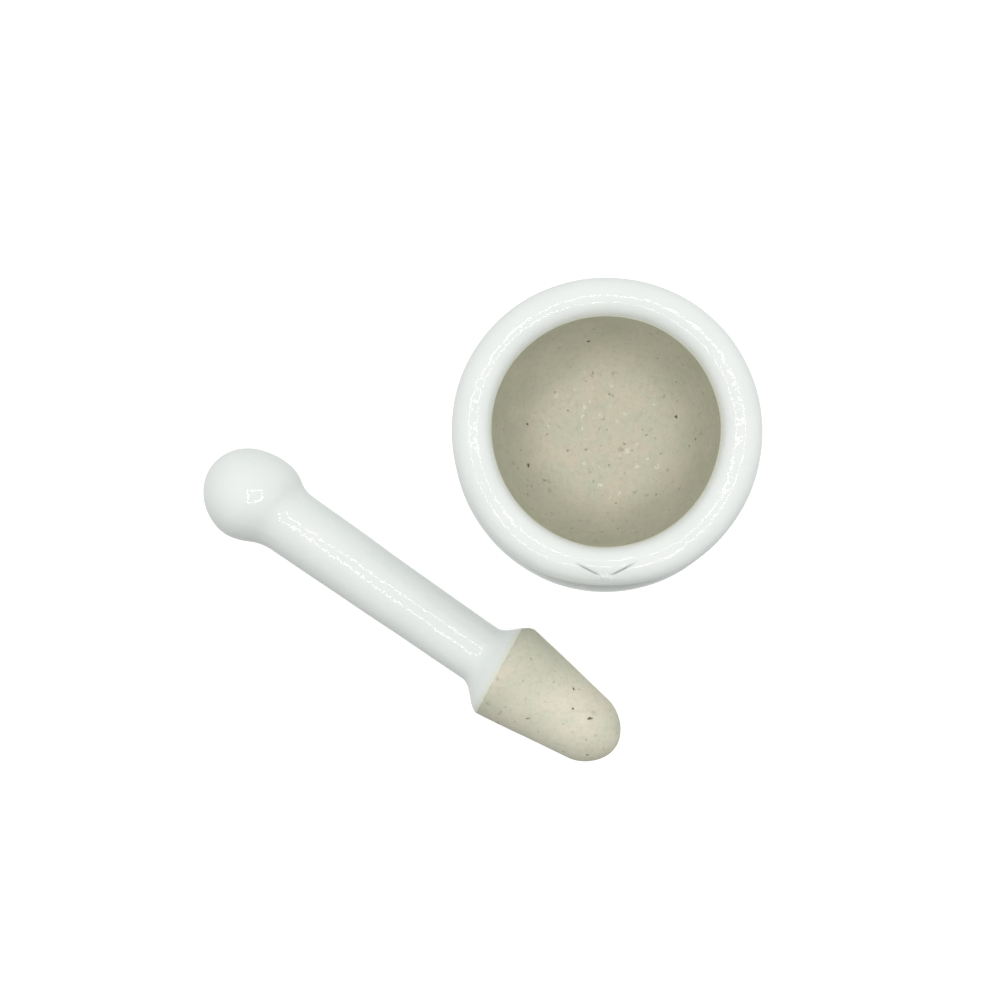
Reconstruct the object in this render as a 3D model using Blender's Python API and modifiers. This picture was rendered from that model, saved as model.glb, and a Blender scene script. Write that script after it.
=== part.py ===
"""A small laboratory mortar and pestle in porcelain.

The mortar stands on its flat base at the world origin, with +Z up and its pouring spout towards -Y.
The pestle lies on the same surface beside it. Each is one fired piece, glazed except where it grinds.
"""

import math

import bmesh
import bpy
from mathutils import Vector

MM = 0.001

# Mortar: overall sizes
RIM_RADIUS = 30 * MM
MORTAR_HEIGHT = 36 * MM

# Mortar: rolled rim
RIM_WIDTH = 7.8 * MM  # from the edge of the bowl out to the widest point
RIM_ROLL_OUT = 3.8 * MM  # from the crest out to the widest point
RIM_ROLL_DROP = 3.6 * MM  # from the crest down to the widest point
RIM_TUCK_ANGLE = math.radians(70)  # how far the roll carries on under its widest point
MOUTH_DROP = 3.6 * MM  # from the crest down to the edge of the bowl

# Mortar: bowl and body
FLOOR_THICKNESS = 7.5 * MM
BOWL_FULLNESS = 2.4  # 2 is an ellipse, more is flatter below and steeper at the side
BELLY_INSET = 0.1 * MM  # the belly's widest ring, in from the rim's
BELLY_HEIGHT = 20 * MM
BELLY_TAPER_POWER = 2.2

# Mortar: foot
WAIST_RADIUS = 17.4 * MM
WAIST_HEIGHT = 3 * MM
FOOT_RADIUS = 18.2 * MM
FOOT_STRAIGHT = 0.8 * MM
FOOT_EDGE_ROUND = 0.8 * MM

# Mortar: pouring spout, a shallow scoop across the crest of the rim that narrows to the outside
SPOUT_DEPTH = 0.6 * MM
SPOUT_HALF_WIDTH = 6.1 * MM
SPOUT_WIDE_INSET = 4.7 * MM  # its full width is this far in from the rim's edge
SPOUT_POINT_INSET = 1.5 * MM  # and its point this far in
SPOUT_POINT_HALF_WIDTH = 0.2 * MM

# Pestle: lengths are measured from the end of the knob
PESTLE_LENGTH = 98.7 * MM
KNOB_RADIUS = 9.5 * MM
KNOB_END_LENGTH = 10.6 * MM  # from the end to the widest ring of the knob
NECK_FILLET = 7.8 * MM
SHAFT_RADIUS_AT_KNOB = 6.8 * MM
SHAFT_RADIUS_AT_HEAD = 6.1 * MM
HEAD_LENGTH = 32.7 * MM  # from the start of the shoulder to the tip
SHOULDER_LENGTH = 6.2 * MM
HEAD_RADIUS = 10.2 * MM
HEAD_TIP_RADIUS = 7.1 * MM  # where the rounding of the end begins
END_ROUND_LENGTH = 6.6 * MM

# Where the pestle lies
PESTLE_TURN = math.radians(-34.7)
PESTLE_GAP = 8.2 * MM  # between the rim and the widest ring of the head
PESTLE_ABREAST = 62.2 * MM  # this length along the pestle lies abreast of the mortar's centre

# Worked out from the sizes above
MOUTH_RADIUS = RIM_RADIUS - RIM_WIDTH
CREST_RADIUS = RIM_RADIUS - RIM_ROLL_OUT
BELLY_RADIUS = RIM_RADIUS - BELLY_INSET
SHOULDER_START = PESTLE_LENGTH - HEAD_LENGTH
WIDEST_LENGTH = SHOULDER_START + SHOULDER_LENGTH  # from the knob's end to the widest ring of the head

# Facets
MORTAR_STEPS = 64
PESTLE_STEPS = 40
SPOUT_SIDES = 24
ARC_STEP = math.radians(10)
ABOVE_BELLY_RINGS = 5
BELOW_BELLY_RINGS = 9
SHOULDER_RINGS = 8
HEAD_RINGS = 4


def clear_scene():
    for obj in list(bpy.data.objects):
        bpy.data.objects.remove(obj, do_unlink=True)


def new_collection(name):
    collection = bpy.data.collections.new(name)
    bpy.context.scene.collection.children.link(collection)
    return collection


def new_material(name, color, roughness):
    material = bpy.data.materials.new(name)
    material.use_nodes = True
    shader = material.node_tree.nodes["Principled BSDF"]
    shader.inputs["Base Color"].default_value = (*color, 1)
    shader.inputs["Roughness"].default_value = roughness
    shader.inputs["Metallic"].default_value = 0
    return material


def arc(center, radii, start, end):
    """Points of an elliptical arc in the profile plane, as (radius, height), from one angle to another."""
    count = max(2, math.ceil(abs(end - start) / ARC_STEP))
    angles = [start + (end - start) * i / count for i in range(count + 1)]
    return [
        (center[0] + radii[0] * math.cos(a), center[1] + radii[1] * math.sin(a))
        for a in angles
    ]


def ease(t):
    """A smooth step from 0 to 1."""
    return t * t * (3 - 2 * t)


def join_profile(*stretches):
    """The stretches end to end, with points that repeat left out."""
    points = []
    for stretch in stretches:
        for point in stretch:
            if not points or math.dist(point, points[-1]) > 1e-6:
                points.append(point)
    return points


def turned(name, profile, steps, material, collection):
    """A solid of revolution about its own Z, from a profile of (radius, height) that runs down the outside."""
    mesh = bpy.data.meshes.new(name)
    shape = bmesh.new()
    corners = [shape.verts.new((radius, 0, height)) for radius, height in profile]
    for first, second in zip(corners, corners[1:]):
        shape.edges.new((first, second))
    shape.to_mesh(mesh)
    shape.free()
    mesh.materials.append(material)
    obj = bpy.data.objects.new(name, mesh)
    collection.objects.link(obj)
    screw = obj.modifiers.new("turn", "SCREW")
    screw.axis = "Z"
    screw.steps = steps
    screw.render_steps = steps
    screw.use_merge_vertices = True
    screw.merge_threshold = 1e-5
    screw.use_smooth_shade = True
    return obj


def bowl_profile():
    """From the middle of the bowl's floor up its wall to the mouth."""
    depth = MORTAR_HEIGHT - MOUTH_DROP - FLOOR_THICKNESS
    power = 2 / BOWL_FULLNESS
    count = math.ceil(math.pi / 2 / ARC_STEP)
    points = []
    for i in range(count + 1):
        angle = math.pi / 2 * i / count
        radius = MOUTH_RADIUS * math.sin(angle) ** power
        rise = depth * (1 - max(0, math.cos(angle)) ** power)
        points.append((radius, FLOOR_THICKNESS + rise))
    return points


def rim_profile():
    """From the mouth over the crest of the rim and round under its outer edge."""
    inner = arc(
        (CREST_RADIUS, MORTAR_HEIGHT - MOUTH_DROP),
        (CREST_RADIUS - MOUTH_RADIUS, MOUTH_DROP),
        math.pi,
        math.pi / 2,
    )
    outer = arc(
        (CREST_RADIUS, MORTAR_HEIGHT - RIM_ROLL_DROP),
        (RIM_ROLL_OUT, RIM_ROLL_DROP),
        math.pi / 2,
        -RIM_TUCK_ANGLE,
    )
    return inner + outer


def body_profile(neck):
    """From the neck under the rim, out to the belly, in to the waist and over the foot to the axis."""
    points = []
    for i in range(ABOVE_BELLY_RINGS):
        t = 1 - i / ABOVE_BELLY_RINGS
        radius = BELLY_RADIUS - (BELLY_RADIUS - neck[0]) * t**2
        points.append((radius, BELLY_HEIGHT + (neck[1] - BELLY_HEIGHT) * t))
    for i in range(BELOW_BELLY_RINGS + 1):
        t = i / BELOW_BELLY_RINGS
        radius = BELLY_RADIUS - (BELLY_RADIUS - WAIST_RADIUS) * t**BELLY_TAPER_POWER
        points.append((radius, BELLY_HEIGHT + (WAIST_HEIGHT - BELLY_HEIGHT) * t))
    points.append((FOOT_RADIUS, FOOT_EDGE_ROUND + FOOT_STRAIGHT))
    edge = arc(
        (FOOT_RADIUS - FOOT_EDGE_ROUND, FOOT_EDGE_ROUND),
        (FOOT_EDGE_ROUND, FOOT_EDGE_ROUND),
        0,
        -math.pi / 2,
    )
    return points + edge + [(0, 0)]


def spout_cutter(collection):
    """A rod lying outwards across the rim, flattened and narrowed to a point, so its underside cuts a scoop."""
    inner = MOUTH_RADIUS
    wide = RIM_RADIUS - SPOUT_WIDE_INSET
    point = RIM_RADIUS - SPOUT_POINT_INSET
    narrowing = (SPOUT_HALF_WIDTH - SPOUT_POINT_HALF_WIDTH) / (point - wide)
    bpy.ops.mesh.primitive_cylinder_add(vertices=SPOUT_SIDES, radius=1, depth=point - inner)
    cutter = bpy.context.object
    cutter.name = "spout_cutter"
    for vertex in cutter.data.vertices:
        across, up, along = vertex.co
        radius = (inner + point) / 2 + along
        half_width = SPOUT_POINT_HALF_WIDTH + narrowing * (point - radius)
        vertex.co = (across * half_width, -radius, MORTAR_HEIGHT + up * SPOUT_DEPTH)
    for owner in list(cutter.users_collection):
        owner.objects.unlink(cutter)
    collection.objects.link(cutter)
    cutter.hide_render = True
    cutter.display_type = "WIRE"
    return cutter


def make_mortar(material, parts, cutters):
    rim = rim_profile()
    profile = join_profile(bowl_profile(), rim, body_profile(rim[-1]))
    mortar = turned("mortar", profile, MORTAR_STEPS, material, parts)
    cut = mortar.modifiers.new("spout", "BOOLEAN")
    cut.operation = "DIFFERENCE"
    cut.solver = "EXACT"
    cut.object = spout_cutter(cutters)
    return mortar


def knob_profile():
    """The knob and the fillet that runs from it into the shaft, as (radius, length from the end)."""
    center = KNOB_END_LENGTH
    reach = KNOB_RADIUS + NECK_FILLET
    offset = SHAFT_RADIUS_AT_KNOB + NECK_FILLET
    fillet_center = center + math.sqrt(reach**2 - offset**2)
    lean = math.acos(offset / reach)
    end = arc((0, center), (KNOB_RADIUS, KNOB_END_LENGTH), -math.pi / 2, 0)
    ball = arc((0, center), (KNOB_RADIUS, KNOB_RADIUS), 0, lean)
    fillet = arc((offset, fillet_center), (NECK_FILLET, NECK_FILLET), lean - math.pi, -math.pi)
    return end + ball + fillet


def head_profile():
    """The shoulder, the tapered grinding head and its rounded end, as (radius, length from the knob's end)."""
    round_start = PESTLE_LENGTH - END_ROUND_LENGTH
    taper = (HEAD_RADIUS - HEAD_TIP_RADIUS) / (round_start - WIDEST_LENGTH)
    points = []
    for i in range(SHOULDER_RINGS + 1):
        t = i / SHOULDER_RINGS
        radius = SHAFT_RADIUS_AT_HEAD + (HEAD_RADIUS - SHAFT_RADIUS_AT_HEAD) * ease(t)
        points.append((radius, SHOULDER_START + SHOULDER_LENGTH * t))
    for i in range(1, HEAD_RINGS + 1):
        along = (round_start - WIDEST_LENGTH) * i / HEAD_RINGS
        points.append((HEAD_RADIUS - taper * along, WIDEST_LENGTH + along))
    count = math.ceil(math.pi / 2 / ARC_STEP)
    for i in range(1, count + 1):
        angle = math.pi / 2 * i / count
        along = END_ROUND_LENGTH * math.sin(angle)
        radius = (HEAD_TIP_RADIUS - taper * along) * max(0, math.cos(angle))
        points.append((radius, round_start + along))
    return points


def make_pestle(material, parts):
    """The pestle, turned about its length and laid down on the widest rings of its knob and its head."""
    profile = [
        (radius, WIDEST_LENGTH - length)
        for radius, length in join_profile(knob_profile(), head_profile())
    ]
    pestle = turned("pestle", profile, PESTLE_STEPS, material, parts)
    tilt = math.asin((HEAD_RADIUS - KNOB_RADIUS) / (WIDEST_LENGTH - KNOB_END_LENGTH))
    pestle.rotation_euler = (0, -math.pi / 2 - tilt, PESTLE_TURN)
    along = Vector((math.cos(PESTLE_TURN), math.sin(PESTLE_TURN)))
    aside = Vector((along.y, -along.x))
    place = aside * (max(RIM_RADIUS, BELLY_RADIUS) + PESTLE_GAP + HEAD_RADIUS)
    place += along * (WIDEST_LENGTH - PESTLE_ABREAST)
    pestle.location = (place.x, place.y, HEAD_RADIUS)
    return pestle


clear_scene()
parts = new_collection("mortar_and_pestle")
cutters = new_collection("cutters")
mortar_glaze = new_material("mortar_porcelain", (0.84, 0.87, 0.85), 0.14)
pestle_glaze = new_material("pestle_porcelain", (0.83, 0.87, 0.84), 0.14)
make_mortar(mortar_glaze, parts, cutters)
make_pestle(pestle_glaze, parts)
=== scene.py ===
import math

import bpy
import numpy as np
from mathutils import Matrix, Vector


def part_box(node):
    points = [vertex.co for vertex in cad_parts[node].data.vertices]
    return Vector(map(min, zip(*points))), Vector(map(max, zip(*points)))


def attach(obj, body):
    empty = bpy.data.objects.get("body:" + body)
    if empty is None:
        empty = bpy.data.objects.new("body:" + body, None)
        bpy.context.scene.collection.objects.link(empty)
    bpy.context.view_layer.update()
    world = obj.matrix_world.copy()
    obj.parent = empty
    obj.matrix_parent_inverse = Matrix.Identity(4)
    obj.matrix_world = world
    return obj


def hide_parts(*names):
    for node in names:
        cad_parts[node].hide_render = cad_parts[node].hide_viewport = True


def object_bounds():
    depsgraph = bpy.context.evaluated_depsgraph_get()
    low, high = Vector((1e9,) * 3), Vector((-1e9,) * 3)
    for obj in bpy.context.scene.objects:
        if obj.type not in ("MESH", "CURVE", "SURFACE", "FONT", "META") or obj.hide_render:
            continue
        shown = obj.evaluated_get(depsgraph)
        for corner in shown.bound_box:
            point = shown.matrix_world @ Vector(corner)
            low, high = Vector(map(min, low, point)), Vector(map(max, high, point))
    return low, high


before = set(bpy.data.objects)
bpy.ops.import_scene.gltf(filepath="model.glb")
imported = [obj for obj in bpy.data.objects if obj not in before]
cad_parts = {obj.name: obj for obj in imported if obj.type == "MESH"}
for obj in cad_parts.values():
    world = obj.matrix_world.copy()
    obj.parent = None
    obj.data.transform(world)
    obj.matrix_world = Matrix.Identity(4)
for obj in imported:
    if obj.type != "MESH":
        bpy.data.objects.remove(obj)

# A porcelain mortar and pestle: each is one closed surface worked out with numpy, glazed white
# except where it grinds. Lengths in the dictionaries are millimetres; meshes are in metres.

mm = 0.001
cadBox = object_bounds()
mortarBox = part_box("mortar")
print("frame loaded:", sorted(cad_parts))


class Wire:
    # one shader socket; + - * and ** on it add Math nodes
    def __init__(self, tree, socket=None):
        self.tree = tree
        self.socket = socket

    def node(self, kind, settings=None, sockets=None, out=0):
        # any node: its settings first, then the values or links of its sockets
        made = self.tree.nodes.new(kind)
        for name, value in (settings or {}).items():
            setattr(made, name, value)
        for name, value in (sockets or {}).items():
            if isinstance(value, Wire):
                self.tree.links.new(value.socket, made.inputs[name])
            else:
                made.inputs[name].default_value = value
        return Wire(self.tree, made.outputs[out] if len(made.outputs) else None)

    def other(self, out):
        # another output of the same node
        return Wire(self.tree, self.socket.node.outputs[out])

    def math(self, operation, first, second=0.0):
        return self.node("ShaderNodeMath", {"operation": operation}, {0: first, 1: second})

    def __add__(self, other):
        return self.math("ADD", self, other)

    def __radd__(self, other):
        return self.math("ADD", other, self)

    def __sub__(self, other):
        return self.math("SUBTRACT", self, other)

    def __rsub__(self, other):
        return self.math("SUBTRACT", other, self)

    def __mul__(self, other):
        return self.math("MULTIPLY", self, other)

    def __rmul__(self, other):
        return self.math("MULTIPLY", other, self)

    def __pow__(self, other):
        return self.math("POWER", self, other)

    def atLeastZero(self):
        return self.math("MAXIMUM", self, 0.0)

    def step(self, low, high):
        # a smooth step from 0 at low to 1 at high
        return self.node(
            "ShaderNodeMapRange",
            {"interpolation_type": "SMOOTHSTEP"},
            {"Value": self, "From Min": low, "From Max": high},
        )

    def tint(self, first, second):
        # this wire, from 0 to 1, mixes the second colour into the first
        return self.node("ShaderNodeMix", {"data_type": "RGBA"}, {0: self, 6: first, 7: second}, out=2)

    def noise(self, size, detail=2.0, roughness=0.5):
        # cloudy noise from 0 to 1 whose blotches are about this many millimetres across
        values = {"Vector": self, "Scale": 1 / size, "Detail": detail, "Roughness": roughness}
        return self.node("ShaderNodeTexNoise", {}, values)

    def dots(self, spacing, radius, share):
        # round specks, 1 in the middle and 0 outside: the distance to the nearest of many random points is
        # stepped at a width of each one's own, 0.3 to 1 of the radius, and only this share has a speck
        cell = self.node("ShaderNodeTexVoronoi", {"feature": "F1"}, {"Vector": self, "Scale": 1 / spacing})
        chance = self.node("ShaderNodeSeparateColor", {}, {"Color": cell.other(1)})
        width = (chance.other(1) * 0.7 + 0.3) * (radius / spacing)
        kept = self.math("LESS_THAN", chance, share)
        inside = cell.step(width, width * 0.45)
        return inside * kept


def arcPoints(centre, radii, start, end, count):
    # an elliptical arc: centre plus the radii times cosine and sine of an angle that runs from start to end
    angle = np.radians(np.linspace(start, end, count))
    return np.column_stack([centre[0] + radii[0] * np.cos(angle), centre[1] + radii[1] * np.sin(angle)])


def lengthAlong(points):
    # the distance travelled along a row of points at each of them
    hops = np.hypot(*np.diff(points, axis=0).T)
    return np.concatenate([[0.0], np.cumsum(hops)])


def softened(points, pitch, blur):
    # the outline at an even pitch, then averaged with Gaussian weights over its neighbours so that corners
    # round off; past each end it goes on as its mirror image in the axis, so the poles stay smooth
    along = lengthAlong(points)
    count = int(along[-1] / pitch) + 1
    even = np.linspace(0, along[-1], count)
    radius = np.interp(even, along, points[:, 0])
    height = np.interp(even, along, points[:, 1])
    reach = int(4 * blur / pitch)
    weights = np.exp(-0.5 * (np.arange(-reach, reach + 1) * pitch / blur) ** 2)
    weights /= weights.sum()
    radius = np.concatenate([-radius[reach:0:-1], radius, -radius[-2 : -reach - 2 : -1]])
    height = np.concatenate([height[reach:0:-1], height, height[-2 : -reach - 2 : -1]])
    smooth = np.column_stack([np.convolve(radius, weights, "valid"), np.convolve(height, weights, "valid")])
    smooth[0, 0] = smooth[-1, 0] = 0
    return smooth


def bell(distance, width):
    # a Gaussian bell: the exponential of minus the square of distance over width
    return np.exp(-((distance / width) ** 2))


def evenShares(along, density, count):
    # places along a line that lie closer where the density is higher: its running sum is cut into equal
    # shares, leaving out both ends
    total = np.concatenate([[0.0], np.cumsum((density[1:] + density[:-1]) / 2 * np.diff(along))])
    return np.interp((np.arange(count) + 1) / (count + 1), total / total[-1], along)


def closedTurning(name, rings, first, last, attribute):
    # a closed skin: rings is an array of (ring, column, xyz) in metres that wraps round, and the two poles
    # are single points joined to the end rings by fans of triangles
    ringCount, columnCount, _ = rings.shape
    points = np.concatenate([rings.reshape(-1, 3), [first], [last]])
    row = np.arange(ringCount - 1)[:, None] * columnCount
    column = np.arange(columnCount)[None, :]
    beyond = (column + 1) % columnCount
    below = row + columnCount
    quads = np.stack([row + column, below + column, below + beyond, row + beyond], -1)
    around = np.arange(columnCount)
    after = (around + 1) % columnCount
    end = (ringCount - 1) * columnCount
    poles = ringCount * columnCount
    topFan = np.stack([np.full(columnCount, poles), around, after], -1)
    lowFan = np.stack([np.full(columnCount, poles + 1), end + after, end + around], -1)
    corners = np.concatenate([quads.ravel(), topFan.ravel(), lowFan.ravel()]).astype(np.int32)
    sizes = np.concatenate([np.full(quads.size // 4, 4), np.full(2 * columnCount, 3)])
    starts = np.concatenate([[0], np.cumsum(sizes)[:-1]]).astype(np.int32)
    mesh = bpy.data.meshes.new(name)
    mesh.vertices.add(len(points))
    mesh.vertices.foreach_set("co", points.ravel())
    mesh.loops.add(len(corners))
    mesh.loops.foreach_set("vertex_index", corners)
    mesh.polygons.add(len(sizes))
    mesh.polygons.foreach_set("loop_start", starts)
    mesh.polygons.foreach_set("use_smooth", np.ones(len(sizes), bool))
    mesh.update(calc_edges=True)
    mesh.validate()
    for label, values in attribute.items():
        layer = mesh.attributes.new(label, "FLOAT", "POINT")
        layer.data.foreach_set("value", values.astype(np.float32))
    piece = bpy.data.objects.new(name, mesh)
    bpy.context.scene.collection.objects.link(piece)
    return piece


def gentleWaves(seed, points, size):
    # a soft random field on points in space: a sum of sine waves of random direction and phase, each about
    # this many millimetres long, scaled to lie mostly between -1 and 1
    count = 9
    random = np.random.default_rng(seed)
    heading = random.normal(size=(count, 3))
    heading /= np.linalg.norm(heading, axis=1)[:, None]
    length = size * random.uniform(0.7, 1.5, count)
    phase = random.uniform(0, 2 * np.pi, count)
    waves = np.sin(points @ (heading / length[:, None]).T * 2 * np.pi + phase)
    return waves.sum(-1) / math.sqrt(count)


mortar = {
    "rimRadius": (mortarBox[1][0] - mortarBox[0][0]) / 2 / mm,
    "height": (mortarBox[1][2] - mortarBox[0][2]) / mm,
    "rimWidth": 7.8,  # from the edge of the bowl out to the widest point
    "rollOut": 3.8,  # the outer half of the roll: how far out, how far down, how far round underneath
    "rollDrop": 3.6,
    "tuckAngle": 70,
    "mouthDrop": 3.6,  # the bowl's edge is this far below the crest
    "rollFullness": 2.5,  # 2 is an ellipse, more is flatter on top and tighter at the glaze's edge
    "floor": 7.5,
    "fullness": 2.4,  # of the bowl, in the same sense
    "bellyInset": 0.1,
    "bellyHeight": 20.0,
    "taperPower": 2.2,
    "waistRadius": 17.4,
    "waistHeight": 3.0,
    "footRadius": 18.2,
    "footStraight": 0.8,
    "footRound": 0.8,
    "cornerBlur": 0.3,
    "glazeRise": 0.15,  # the glaze ends this far up the roll from the bowl's edge
    "glazeLip": 0.12,  # and its end stands in over the bare wall by this much
    "glazeLipAt": 0.35,
    "glazeLipWidth": 0.3,
    "footBare": 1.1,  # the glaze stops this far up the foot
    "wornReach": 14.9,  # grinding has paled the bowl this far from its middle
    "wornFade": 1.9,
    "wornShift": (1.2, 2.3),
    "underShadeAt": 25.6,  # painted shade at this height, in the hollow under the roll where it overhangs the body
    "underShadeWidth": 2.2,
    "underShade": 0.5,
    "mouthShift": (-0.2, 0.26),  # the bowl is a little off the middle of the rim
    "mouthShiftEnds": 1.2,  # before the crest
    "mouthShiftFade": 0.7,
    "rimShift": (0.06, 0.19),
    "unevenFrom": 3.0,  # all that is uneven starts at this height and is full at the next
    "unevenFull": 23.0,
    "swell": 0.08,
    "oval": (-0.13, 0.11),  # out of round by this much, two- and three-sided
    "ovalFull": 15.0,  # at this radius, less nearer the axis
    "waviness": 0.035,
    "waveLength": 11,
    "columns": 330,
    "rings": 275,
    "columnCrowding": 0.8,  # how strongly the columns gather round the spout, from 0 to 1
    # where the rings gather: how much denser they lie, where, and over what width
    "rimCrowding": (5.5, 1.0, 2.6),  # beyond the crest
    "mouthCrowding": (4.0, 0.0, 0.9),  # beyond the end of the glaze
    "footCrowding": (1.2, 0.0, 2.0),  # beyond the edge of the foot
}

spout = {
    "aside": -0.5,  # its middle line lies this far off the mortar's
    "under": 3.0,  # it reaches this far down from the crest
    "apex": 27.7,  # the two creases would meet this far out
    "slope": 0.57,
    "curve": 1.5,
    "depth": 0.32,  # how far the rim is pressed down just inside the creases
    "edgeWidth": 0.05,
    "fade": 1.4,
    "reach": 6.6,  # to each side
    "reachFade": 3.0,
    "creaseGap": 0.6,  # the creases stop this far short of the middle line, over this distance
    "creaseGapFade": 1.4,
    "creaseDepth": 0.3,
    "creaseWidth": 0.17,
    "pinch": 0.8,  # beside it the roll is drawn in under the lip
    "pinchTurn": 0.38,  # radians
    "pinchFrom": 27.5,
    "pinchRise": 2.0,
    "bulge": 0.14,
    "bulgeAt": 28.15,
    "bulgeSize": (2.4, 0.45),
    "lumps": 0.15,
    "lumpSize": 1.15,
    "lumpsAt": 27.6,
    "lumpsReach": (2.1, 0.8),
}


def mortarOutline(m):
    # radius and height from the middle of the bowl's floor, up and over the rim, down the outside and
    # across the foot to the axis: a superellipse, two elliptical arcs, two power curves and the foot
    mouth = m["rimRadius"] - m["rimWidth"]
    crest = m["rimRadius"] - m["rollOut"]
    belly = m["rimRadius"] - m["bellyInset"]
    depth = m["height"] - m["mouthDrop"] - m["floor"]
    angle = np.linspace(0, np.pi / 2, 160)
    bowl = np.column_stack(
        [
            mouth * np.sin(angle) ** (2 / m["fullness"]),
            m["floor"] + depth * (1 - np.clip(np.cos(angle), 0, 1) ** (2 / m["fullness"])),
        ]
    )
    angle = np.linspace(0, np.pi / 2, 80)
    power = 2 / m["rollFullness"]
    inner = np.column_stack(
        [
            crest - (crest - mouth) * np.clip(np.cos(angle), 0, 1) ** power,
            m["height"] - m["mouthDrop"] * (1 - np.sin(angle) ** power),
        ]
    )
    rollMiddle = (crest, m["height"] - m["rollDrop"])
    outer = arcPoints(rollMiddle, (m["rollOut"], m["rollDrop"]), 90, -m["tuckAngle"], 120)
    neck = outer[-1]
    share = np.linspace(1, 0, 40)[1:, None]
    upper = np.hstack(
        [belly - (belly - neck[0]) * share**2, m["bellyHeight"] + (neck[1] - m["bellyHeight"]) * share]
    )
    share = np.linspace(0, 1, 80)[1:, None]
    lower = np.hstack(
        [
            belly - (belly - m["waistRadius"]) * share ** m["taperPower"],
            m["bellyHeight"] + (m["waistHeight"] - m["bellyHeight"]) * share,
        ]
    )
    flare = [[m["footRadius"], m["footRound"] + m["footStraight"]]]
    edgeMiddle = (m["footRadius"] - m["footRound"], m["footRound"])
    edge = arcPoints(edgeMiddle, (m["footRound"], m["footRound"]), 0, -90, 20)
    return np.vstack([bowl, inner[1:], outer[1:], upper, lower, flare, edge, [[0, 0]]])


def spoutShape(x, y, z, m, s):
    # the pouring lip pressed into the rim. Its edge is a hyperbola whose arms are two creases. Inside the
    # edge the rim is lowered by an amount that dies away exponentially inwards, along the edge itself runs
    # a narrow Gaussian groove, outside it the glaze bulges, and where the arms would meet it is lumpy.
    # Gives the new height and the groove's share, which the finish also uses to paint shade along the
    # creases.
    out = -y
    x = x - s["aside"]
    onRim = (z > m["height"] - s["under"]) & (out > 0)
    edge = s["apex"] - s["slope"] * (np.sqrt(x**2 + s["curve"] ** 2) - s["curve"])
    away = (out - edge) / math.hypot(1, s["slope"])
    sides = np.clip((s["reach"] - np.abs(x)) / s["reachFade"], 0, 1)
    sides = sides * sides * (3 - 2 * sides) * onRim
    within = 1 / (1 + np.exp(np.clip(away / s["edgeWidth"], -50, 50)))
    lowered = s["depth"] * within * np.exp(np.minimum(away, 0) / s["fade"]) * sides
    apart = np.clip((np.abs(x) - s["creaseGap"]) / s["creaseGapFade"], 0, 1)
    grooveAndShade = bell(away, s["creaseWidth"]) * sides * apart
    bulge = s["bulge"] * bell(x, s["bulgeSize"][0]) * bell(out - s["bulgeAt"], s["bulgeSize"][1]) * onRim
    near = bell(x, s["lumpsReach"][0]) * bell(out - s["lumpsAt"], s["lumpsReach"][1]) * onRim
    spots = np.stack([x, y, 0 * x], -1).reshape(-1, 3)
    lumps = s["lumps"] * near * gentleWaves(3, spots, s["lumpSize"]).reshape(near.shape)
    return z - lowered - s["creaseDepth"] * grooveAndShade + bulge + lumps, grooveAndShade


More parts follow.
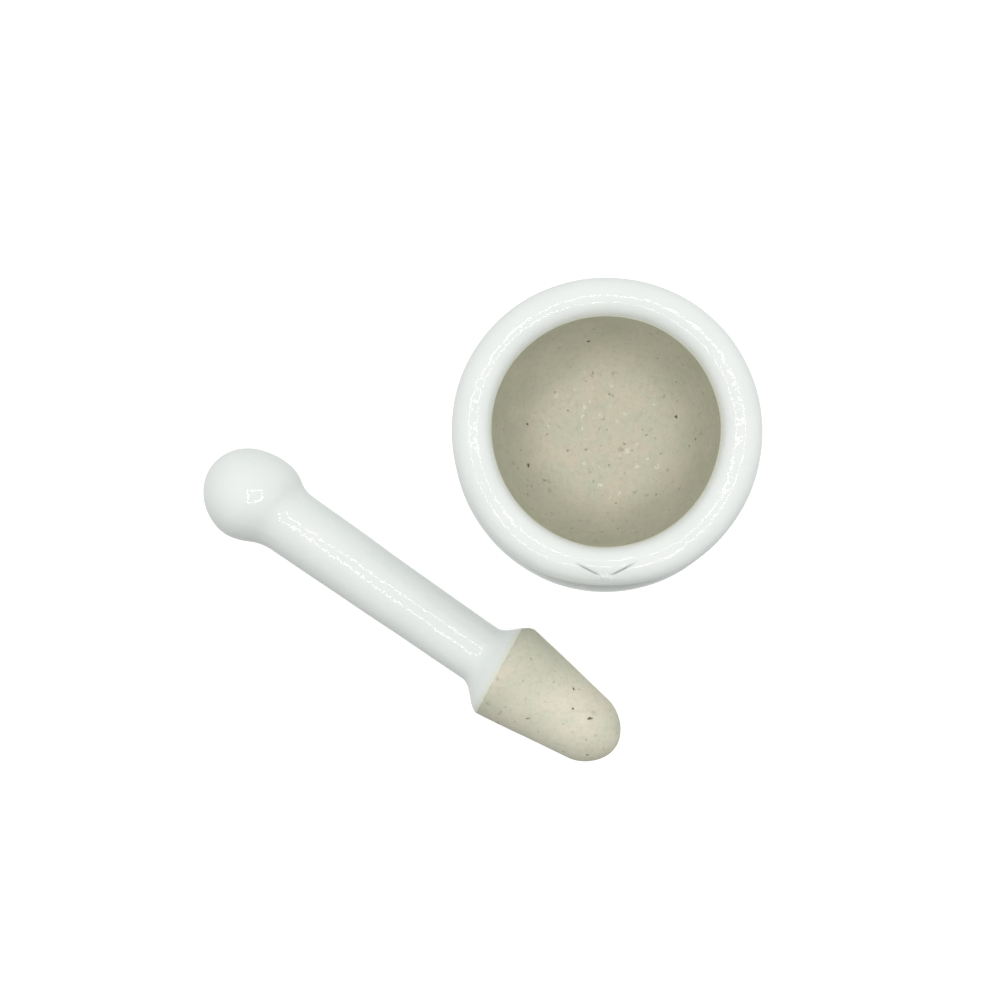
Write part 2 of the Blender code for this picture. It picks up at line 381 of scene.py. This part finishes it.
def makeMortar(m, s):
    # the outline turned round the axis: every ring's radius and height at every column, made a little
    # oval, wavy and off centre by sums of sines, then given the spout
    outline = softened(mortarOutline(m), 0.05, m["cornerBlur"])
    along = lengthAlong(outline)
    crestAt = along[np.argmax(outline[:, 1])]
    mouthAt = along[np.argmax(outline[:, 1] >= m["height"] - m["mouthDrop"])] + m["glazeRise"]
    footAt = along[-1] - (m["footRadius"] - m["footRound"]) - m["footBare"]
    density = np.ones_like(along)
    places = {"rimCrowding": crestAt, "mouthCrowding": mouthAt, "footCrowding": along[-1] - m["footRadius"]}
    for name, place in places.items():
        denser, beyond, width = m[name]
        density += denser * bell(along - place - beyond, width)
    at = evenShares(along, density, m["rings"])
    radius = np.interp(at, along, outline[:, 0])
    height = np.interp(at, along, outline[:, 1])
    radius -= m["glazeLip"] * bell(at - mouthAt - m["glazeLipAt"], m["glazeLipWidth"])
    # the angle runs straight plus a cube, starting and ending behind the spout
    even = (np.arange(m["columns"]) + 0.5) / m["columns"] * 2 - 1
    gathered = m["columnCrowding"]
    turn = np.pi * ((1 - gathered) * even + gathered * even**3) - np.pi / 2
    slope = np.arctan2(np.gradient(height, at), np.gradient(radius, at))[:, None]
    radius, height = radius[:, None], height[:, None]
    spots = np.stack([radius * np.cos(turn), radius * np.sin(turn), height + 0 * turn], -1)
    # the foot stays true: everything uneven grows with height
    upper = np.clip((height - m["unevenFrom"]) / (m["unevenFull"] - m["unevenFrom"]), 0, 1)
    wave = gentleWaves(4, spots.reshape(-1, 3), m["waveLength"]).reshape(spots.shape[:2])
    wave = m["waviness"] * wave * upper
    oval = (m["oval"][0] * np.cos(2 * turn) + m["oval"][1] * np.sin(3 * turn)) * upper
    outward = np.clip(radius / m["ovalFull"], 0, 1)
    swollen = radius + (oval + m["swell"]) * outward + wave * np.sin(slope)
    # 1 in the bowl, 0 beyond the crest
    inside = 1 / (1 + np.exp((at[:, None] - crestAt + m["mouthShiftEnds"]) / m["mouthShiftFade"]))
    aside = np.angle(np.exp(1j * (turn + np.pi / 2)))
    pinched = bell(aside, s["pinchTurn"]) * np.clip((height - s["pinchFrom"]) / s["pinchRise"], 0, 1)
    swollen = swollen - s["pinch"] * pinched * (1 - inside)
    x = swollen * np.cos(turn) + m["rimShift"][0] * upper + m["mouthShift"][0] * inside * upper
    y = swollen * np.sin(turn) + m["rimShift"][1] * upper + m["mouthShift"][1] * inside * upper
    z = height - wave * np.cos(slope)
    z, grooveAndShade = spoutShape(x, y, z, m, s)
    z = np.clip(z, 0, m["height"])
    rings = np.stack([x, y, z], -1)[:, ::-1] * mm
    glazed = np.repeat(np.minimum(at - mouthAt, footAt - at), m["columns"])
    fromMiddle = np.hypot(x - m["wornShift"][0], y - m["wornShift"][1])
    wearAndShade = inside / (1 + np.exp((fromMiddle - m["wornReach"]) / m["wornFade"]))
    # painted shade in the hollow under the roll, joined to the creases' painted shade in one mask
    rollShade = m["underShade"] * bell(height - m["underShadeAt"], m["underShadeWidth"]) * (1 - inside)
    grooveAndShade = np.maximum(grooveAndShade, rollShade + 0 * turn)
    ends = np.array([[0, 0, outline[0, 1]], [0, 0, 0]]) * mm
    values = {
        "glazeEdge": np.append(glazed, [-9.0, -9.0]),  # millimetres of glaze from its edge, bare below 0
        # painted shade: dark along the spout's creases and in the hollow under the roll
        "paintedShade": np.append(grooveAndShade[:, ::-1], [0.0, 0.0]),
        "wearAndShade": np.append(wearAndShade[:, ::-1], [1.0, 0.0]),
    }
    return closedTurning("mortar_porcelain", rings, ends[0], ends[1], values)


pestle = {
    "length": 98.7,
    "knobRadius": 9.5,
    "knobEnd": 10.6,
    "neckFillet": 7.8,
    "shaftAtKnob": 6.8,
    "shaftAtHead": 6.1,
    "headLength": 32.7,
    "shoulder": 6.2,
    "headRadius": 10.2,
    "tipRadius": 7.1,
    "endRound": 6.6,
    "cornerBlur": 0.35,
    "knobSlant": 0.12,  # the knob is joined on a little askew
    "neckAt": 14.0,
    "neckReach": 6.0,
    "glazeEnd": 71.0,  # from the knob's end, as are the other places
    "glazeSlant": 1.1,
    "glazeLip": 0.1,  # the glaze is this much thicker at its end
    "glazeLipEdge": 0.25,
    "glazeLipFull": 1.5,  # it is thickest up to here from its end, and thin again this much further on
    "glazeLipReach": 6.0,
    "wearAndShade": 0.40,  # how rubbed the head is, and how much more so round its middle
    "wornMore": 0.26,
    "wornAt": 86.0,
    "wornSpan": 8.0,
    "sideShade": 0.2,  # its two level sides are painted this much darker, as painted shade
    "waviness": 0.05,
    "waveLength": 16,
    "skinFull": 3.0,  # the waves and the thicker glaze fade nearer the axis than this
    "columns": 150,
    "rings": 330,
    "glazeCrowding": 2.5,  # the rings gather at the end of the glaze
    "glazeCrowdingWidth": 2.2,
}


def pestleOutline(p):
    # radius and length from the knob's end: a half ellipse and an arc for the knob, a fillet tangent to
    # knob and shaft, the tapering shaft, an eased shoulder, and a cone whose end is rounded off
    reach = p["knobRadius"] + p["neckFillet"]
    offset = p["shaftAtKnob"] + p["neckFillet"]
    filletAt = p["knobEnd"] + math.sqrt(reach**2 - offset**2)
    lean = math.degrees(math.acos(offset / reach))
    end = arcPoints((0, p["knobEnd"]), (p["knobRadius"], p["knobEnd"]), -90, 0, 80)
    ball = arcPoints((0, p["knobEnd"]), (p["knobRadius"],) * 2, 0, lean, 30)
    fillet = arcPoints((offset, filletAt), (p["neckFillet"],) * 2, lean - 180, -180, 30)
    start = p["length"] - p["headLength"]
    widest = start + p["shoulder"]
    roundAt = p["length"] - p["endRound"]
    share = np.linspace(0, 1, 60)[:, None]
    eased = share * share * (3 - 2 * share)
    widening = (p["headRadius"] - p["shaftAtHead"]) * eased
    shoulder = np.hstack([p["shaftAtHead"] + widening, start + p["shoulder"] * share])
    taper = (p["headRadius"] - p["tipRadius"]) / (roundAt - widest)
    further = (roundAt - widest) * np.linspace(0, 1, 40)[1:, None]
    cone = np.hstack([p["headRadius"] - taper * further, widest + further])
    angle = np.linspace(0, np.pi / 2, 60)[1:, None]
    along = p["endRound"] * np.sin(angle)
    tip = np.hstack([(p["tipRadius"] - taper * along) * np.clip(np.cos(angle), 0, 1), roundAt + along])
    return np.vstack([end, ball[1:], fillet[1:], shoulder, cone, tip])


def lieOf(node):
    # where a turned CAD piece lies: its centroid is on its axis, and its longest principal direction is
    # the axis itself, here pointing from the knob to the grinding head
    mesh = node.data
    points = np.empty(len(mesh.vertices) * 3)
    mesh.vertices.foreach_get("co", points)
    points = np.unique(points.reshape(-1, 3).round(7), axis=0)
    middle = points.mean(0)
    axis = np.linalg.svd(points - middle, full_matrices=False)[2][0]
    axis *= np.sign(axis[0])
    knobEnd = ((points - middle) @ axis).min()
    return middle + axis * knobEnd, axis


def makePestle(p):
    # the outline turned round the CAD pestle's own axis, with a wavy skin, a thicker glaze towards its end
    # and a leaning neck; each column's angle is measured from one of the level sides
    outline = softened(pestleOutline(p), 0.05, p["cornerBlur"])
    along = lengthAlong(outline)
    density = 1 + p["glazeCrowding"] * bell(outline[:, 1] - p["glazeEnd"], p["glazeCrowdingWidth"])
    at = evenShares(along, density, p["rings"])
    radius = np.interp(at, along, outline[:, 0])[:, None]
    length = np.interp(at, along, outline[:, 1])[:, None]
    start, axis = lieOf(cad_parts["pestle"])
    aside = np.cross([0, 0, 1], axis)
    aside /= np.linalg.norm(aside)
    upward = np.cross(axis, aside)
    turn = np.arange(p["columns"]) / p["columns"] * 2 * np.pi
    glazed = p["glazeEnd"] - p["glazeSlant"] * np.cos(turn) * radius / p["headRadius"] - length
    started = np.clip(glazed / p["glazeLipEdge"] + 0.5, 0, 1)
    lip = started - np.clip((glazed - p["glazeLipFull"]) / p["glazeLipReach"], 0, 1)
    spots = np.stack([radius * np.cos(turn), radius * np.sin(turn), length * np.ones_like(turn)], -1)
    wave = gentleWaves(11, spots.reshape(-1, 3), p["waveLength"]).reshape(glazed.shape)
    skin = p["glazeLip"] * lip + p["waviness"] * (wave - 1)
    radius = radius + skin * np.clip(radius / p["skinFull"], 0, 1)
    across = (radius * np.cos(turn))[..., None] * aside + (radius * np.sin(turn))[..., None] * upward
    # rings near the neck lean, one side pushed along the axis and the other back
    askew = p["knobSlant"] * radius * np.cos(turn) * bell(length - p["neckAt"], p["neckReach"])
    rings = start + across * mm + (length + askew)[..., None] * axis * mm
    rings[..., 2] = np.maximum(rings[..., 2], mortarBox[0][2])  # nothing sinks into the table
    ends = [start + outline[0, 1] * mm * axis, start + outline[-1, 1] * mm * axis]
    wearAndShade = p["wearAndShade"] + p["wornMore"] * bell(length - p["wornAt"], p["wornSpan"])
    # painted shade: the head's two level sides are darker than its top and bottom
    wearAndShade = wearAndShade - p["sideShade"] * np.cos(turn) ** 2
    values = {
        "glazeEdge": np.append(glazed.ravel(), [60.0, -25.0]),
        "wearAndShade": np.append(wearAndShade.ravel(), [0.0, wearAndShade[-1].mean()]),
    }
    return closedTurning("pestle_porcelain", rings, ends[0], ends[1], values)


porcelain = {
    "glazeWhite": (0.765, 0.785, 0.762, 1),
    "glazeCool": (0.745, 0.775, 0.752, 1),
    "glazeThin": (0.69, 0.70, 0.565, 1),
    # painted shade: the colour the glaze is darkened towards in the spout's creases and under the roll
    "shadeColour": (0.30, 0.32, 0.30, 1),
    "glazeRough": 0.055,
    "thinReach": 1.6,  # the glaze thins out over this distance from its edge
    "thinTint": 0.8,
    # how far the painted shade goes towards that colour
    "shadeTint": 0.8,
    "edgeSpan": (-0.05, 0.06),  # from bare to glazed
    "edgeRagged": 0.5,
    "ripples": {6.0: 0.11, 1.9: 0.085},  # how high the glaze's ripples are at each size
    "bisque": (0.515, 0.505, 0.405, 1),
    "bisqueGreen": (0.475, 0.48, 0.37, 1),
    "bisqueRough": 0.84,
    "wornPale": (0.76, 0.755, 0.62, 1),
    "wornPink": (0.80, 0.735, 0.61, 1),
    "dirt": (0.20, 0.175, 0.13, 1),
    "speck": (0.085, 0.07, 0.05, 1),
    "chip": (0.96, 0.94, 0.85, 1),
    # noises: how big, how many finer layers and how strong they are
    "clouds": (8.0, 3, 0.5),
    "blotches": (3.2, 4, 0.6),
    "mottling": (1.1, 3, 0.6),
    "grains": (0.35, 4, 0.65),
    "edgeNoise": (1.6, 3, 0.5),
    "chipNoise": (0.5, 2, 0.5),
    "wornPatchy": {"cloud": 0.5, "blotch": 0.35},
    "rougher": {"cloud": 0.04, "thin": 0.12, "grain": 0.12},
    # between which values of its noise each one comes in
    "coolSpan": (0.35, 0.65),
    "greenSpan": (0.3, 0.7),
    "pinkSpan": (0.42, 0.58),
    "mottleSpan": (0.4, 0.8),
    "grainSpan": (0.4, 0.75),
    "smudgeSpan": (0.45, 0.62),
    "chipSpan": (0.42, 0.52),
    "chipWornSpan": (0.6, 0.85),
    # specks: how far apart, how big and what share of the places has one
    "pinholes": (1.6, 0.36, 0.42),
    "deepHoles": (3.0, 0.5, 0.32),
    "smudges": (2.1, 0.8, 0.5),
    "chips": (1.8, 0.8, 0.5),
    "speckPull": 1.1,  # how far the noise pulls them out of round
    # how strongly each colours the bare porcelain, and how far it raises it
    "strength": {"mottle": 0.15, "grain": 0.1, "smudge": 0.3, "chip": 0.85, "pinhole": 0.6, "deepHole": 0.9},
    "relief": {"grain": 0.035, "blotch": 0.05, "deepHole": -0.2, "pinhole": -0.08, "chip": 0.05},
    "reflection": 0.38,
}


def porcelainFinish(name, look):
    # both finishes from one set of noises in millimetres; the surface's own values say which one shows
    material = bpy.data.materials.new(name)
    material.use_nodes = True
    tree = material.node_tree
    tree.nodes.clear()
    wire = Wire(tree)
    place = wire.node("ShaderNodeTexCoord", out=3)
    spot = wire.node("ShaderNodeVectorMath", {"operation": "SCALE"}, {0: place, "Scale": 1 / mm})
    edge = wire.node("ShaderNodeAttribute", {"attribute_name": "glazeEdge"}, out=2)
    wearAndShade = wire.node("ShaderNodeAttribute", {"attribute_name": "wearAndShade"}, out=2)
    paintedShade = wire.node("ShaderNodeAttribute", {"attribute_name": "paintedShade"}, out=2)
    cloud = spot.noise(*look["clouds"])
    blotch = spot.noise(*look["blotches"])
    mottle = spot.noise(*look["mottling"])
    grain = spot.noise(*look["grains"])

    # glaze: white, a little greener in clouds, yellowed where it thins out at its edge, and darkened by
    # painted shade along the spout's creases and under the roll
    ragged = edge + (spot.noise(*look["edgeNoise"]) - 0.5) * look["edgeRagged"]
    glazed = ragged.step(*look["edgeSpan"])
    thin = 1 - ragged.step(0.0, look["thinReach"])
    coat = cloud.step(*look["coolSpan"]).tint(look["glazeWhite"], look["glazeCool"])
    coat = (thin * look["thinTint"]).tint(coat, look["glazeThin"])
    # painted shade darkens the glaze along the spout's creases and under the roll
    coat = (paintedShade * look["shadeTint"]).tint(coat, look["shadeColour"])

    # specks are round before the noise pulls their places about
    jitter = wire.node("ShaderNodeTexNoise", {}, {"Vector": spot, "Scale": 1.1, "Detail": 1.0}, out=1)
    pull = {0: jitter, 1: (look["speckPull"],) * 3, 2: spot}
    torn = wire.node("ShaderNodeVectorMath", {"operation": "MULTIPLY_ADD"}, pull)
    pinholes = torn.dots(*look["pinholes"])
    deepHoles = torn.dots(*look["deepHoles"])
    smudges = torn.dots(*look["smudges"]) * mottle.step(*look["smudgeSpan"])
    broken = spot.noise(*look["chipNoise"]).step(*look["chipSpan"])
    chips = torn.dots(*look["chips"]) * broken * wearAndShade.step(*look["chipWornSpan"])

    # bare porcelain: greenish, paler and pinker where it is worn, darker on the pestle head's level sides as
    # painted shade, mottled and specked
    fresh = blotch.step(*look["greenSpan"]).tint(look["bisque"], look["bisqueGreen"])
    pinkness = (cloud * 0.5 + blotch * 0.5).step(*look["pinkSpan"])
    rubbed = pinkness.tint(look["wornPale"], look["wornPink"])
    patchy = look["wornPatchy"]
    bare = (wearAndShade + (cloud - 0.5) * patchy["cloud"] + (blotch - 0.5) * patchy["blotch"]).tint(fresh, rubbed)
    strength = look["strength"]
    bare = (mottle.step(*look["mottleSpan"]) * strength["mottle"]).tint(bare, look["dirt"])
    bare = (grain.step(*look["grainSpan"]) * strength["grain"]).tint(bare, look["dirt"])
    bare = (smudges * strength["smudge"]).tint(bare, look["dirt"])
    bare = (chips * strength["chip"]).tint(bare, look["chip"])
    bare = (pinholes * strength["pinhole"]).tint(bare, look["dirt"])
    bare = (deepHoles * strength["deepHole"]).tint(bare, look["speck"])

    more = look["rougher"]
    gloss = look["glazeRough"] + cloud * more["cloud"] + thin * more["thin"]
    rough = look["bisqueRough"] + grain * more["grain"]
    # the skin's height: gentle ripples where it is glazed, a fine tooth with holes and chips where bare
    ripple = sum(spot.noise(size, 2) * height for size, height in look["ripples"].items())
    rise = look["relief"]
    tooth = grain * rise["grain"] + blotch * rise["blotch"] + deepHoles * rise["deepHole"]
    tooth = tooth + pinholes * rise["pinhole"] + chips * rise["chip"]
    relief = tooth + (ripple - tooth) * glazed
    values = {
        "Base Color": glazed.tint(bare, coat),
        "Roughness": rough + (gloss - rough) * glazed,
        "Normal": wire.node("ShaderNodeBump", {}, {"Strength": 1.0, "Distance": mm, "Height": relief}),
        "Specular IOR Level": look["reflection"],
    }
    shader = wire.node("ShaderNodeBsdfPrincipled", {}, values)
    wire.node("ShaderNodeOutputMaterial", {}, {"Surface": shader})
    return material


tableTop = {
    "grey": 0.55,
    "roughness": 0.9,
    "reflection": 0.1,
    "glow": 0.64,
    "reach": 12000,  # to each side, so that no edge shows
    "gap": 0.1,  # below the set
}


def tableFinish(t):
    # matt grey that glows white like a light table, so that only the deepest contact shadows show
    material = bpy.data.materials.new("white_table")
    material.use_nodes = True
    sockets = material.node_tree.nodes["Principled BSDF"].inputs
    sockets["Base Color"].default_value = (t["grey"], t["grey"], t["grey"], 1)
    sockets["Roughness"].default_value = t["roughness"]
    sockets["Specular IOR Level"].default_value = t["reflection"]
    sockets["Emission Color"].default_value = (1, 1, 1, 1)
    sockets["Emission Strength"].default_value = t["glow"]
    return material


def makeTable(t, height):
    # a flat square under the set
    far = t["reach"] * mm
    corners = [(-far, -far), (far, -far), (far, far), (-far, far)]
    mesh = bpy.data.meshes.new("table")
    mesh.from_pydata([(x, y, (height - t["gap"]) * mm) for x, y in corners], [], [(0, 1, 2, 3)])
    mesh.materials.append(tableFinish(t))
    floor = bpy.data.objects.new("table", mesh)
    bpy.context.scene.collection.objects.link(floor)
    # it shows white and takes shadows, but throws no light back up at the pieces
    floor.visible_diffuse = False
    floor.visible_glossy = False
    floor.visible_shadow = False


studio = {
    "aim": (4.56, 4.96, 18.0),  # from the middle of the set's footprint, up from the table
    "distance": 510.5,
    "tilt": 4.65,
    "lens": 92.9,
    # how bright the white tent is above the table and below it, and what more it has on each side
    "tent": {
        "above": 0.825,
        "top": 0.6,
        "left": 0.08,
        "right": 0.15,
        "front": -0.26,
        "below": 0.76,
        "belowFront": -0.72,
    },
    "topFocus": 2.0,
    "tentColour": {"above": (1, 1, 1, 1), "sides": (0.97, 1.0, 0.985, 1)},
    "stripPower": 0.19,  # watts, of each of the four thin lights that make a square round the camera
    "stripReach": 140,
    "stripWidth": 12,
    "stripHeight": 540,
}


def tent(s):
    # a white tent: above the table, each direction's brightness is a constant plus a power of how far it
    # points up plus a share of how far it points left, right and front. Below, it is grey and darker
    # towards the front
    world = bpy.data.worlds.new("studio")
    world.use_nodes = True
    tree = world.node_tree
    tree.nodes.clear()
    wire = Wire(tree)
    heading = wire.node("ShaderNodeSeparateXYZ", {}, {"Vector": wire.node("ShaderNodeTexCoord")})
    x, y, z = heading, heading.other(1), heading.other(2)
    upper = z.step(-0.15, 0.15)
    light = z.atLeastZero() ** s["topFocus"] * s["tent"]["top"] + s["tent"]["above"]
    light = light + (0 - x).atLeastZero() * s["tent"]["left"] + x.atLeastZero() * s["tent"]["right"]
    light = light + (0 - y).atLeastZero() * s["tent"]["front"]
    under = (0 - y).atLeastZero() * s["tent"]["belowFront"] + s["tent"]["below"]
    light = light * upper + (1 - upper) * under
    colour = z.step(0.1, 0.8).tint(s["tentColour"]["sides"], s["tentColour"]["above"])
    sky = wire.node("ShaderNodeBackground", {}, {"Color": colour, "Strength": light})
    wire.node("ShaderNodeOutputWorld", {}, {"Surface": sky})
    bpy.context.scene.world = world


def strip(name, centre, size, power):
    # one thin light facing straight down that shows only as a fine line on the glaze
    data = bpy.data.lights.new(name, "AREA")
    data.shape = "RECTANGLE"
    data.size = size[0] * mm
    data.size_y = size[1] * mm
    data.energy = power
    lamp = bpy.data.objects.new(name, data)
    lamp.location = [place * mm for place in centre]
    lamp.visible_diffuse = False
    bpy.context.scene.collection.objects.link(lamp)


def makeStudio(s):
    # the camera stands back from the aim against its line of sight, which leans from straight down
    # towards the back by the tilt; then the lights, the tent and the table
    low, high = [np.array(corner) / mm for corner in cadBox]
    middle = (low + high) / 2
    aim = np.array([middle[0] + s["aim"][0], middle[1] + s["aim"][1], low[2] + s["aim"][2]])
    tilt = math.radians(s["tilt"])
    look = np.array([0, math.sin(tilt), -math.cos(tilt)])
    eye = aim - look * s["distance"]
    camera = bpy.data.objects.new("camera", bpy.data.cameras.new("camera"))
    camera.location = eye * mm
    camera.rotation_euler = (tilt, 0, 0)
    camera.data.lens = s["lens"]
    camera.data.sensor_width = 36
    camera.data.clip_start = 0.01
    bpy.context.scene.collection.objects.link(camera)
    bpy.context.scene.camera = camera
    reach, width, up = s["stripReach"], s["stripWidth"], s["stripHeight"]
    for side in (-1, 1):
        strip("strip_x", (eye[0] + side * reach, eye[1], up), (width, 2 * reach), s["stripPower"])
        strip("strip_y", (eye[0], eye[1] + side * reach, up), (2 * reach, width), s["stripPower"])
    tent(s)
    bpy.context.scene.view_settings.view_transform = "Standard"
    makeTable(tableTop, low[2])


mortarPiece = makeMortar(mortar, spout)
mortarPiece.data.materials.append(porcelainFinish("mortar_porcelain", porcelain))
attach(mortarPiece, "mortar")
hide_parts("mortar")
print("mortar:", len(mortarPiece.data.polygons), "faces")

pestlePiece = makePestle(pestle)
pestlePiece.data.materials.append(porcelainFinish("pestle_porcelain", porcelain))
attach(pestlePiece, "pestle")
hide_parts("pestle")
print("pestle:", len(pestlePiece.data.polygons), "faces")

makeStudio(studio)
print("studio lit")
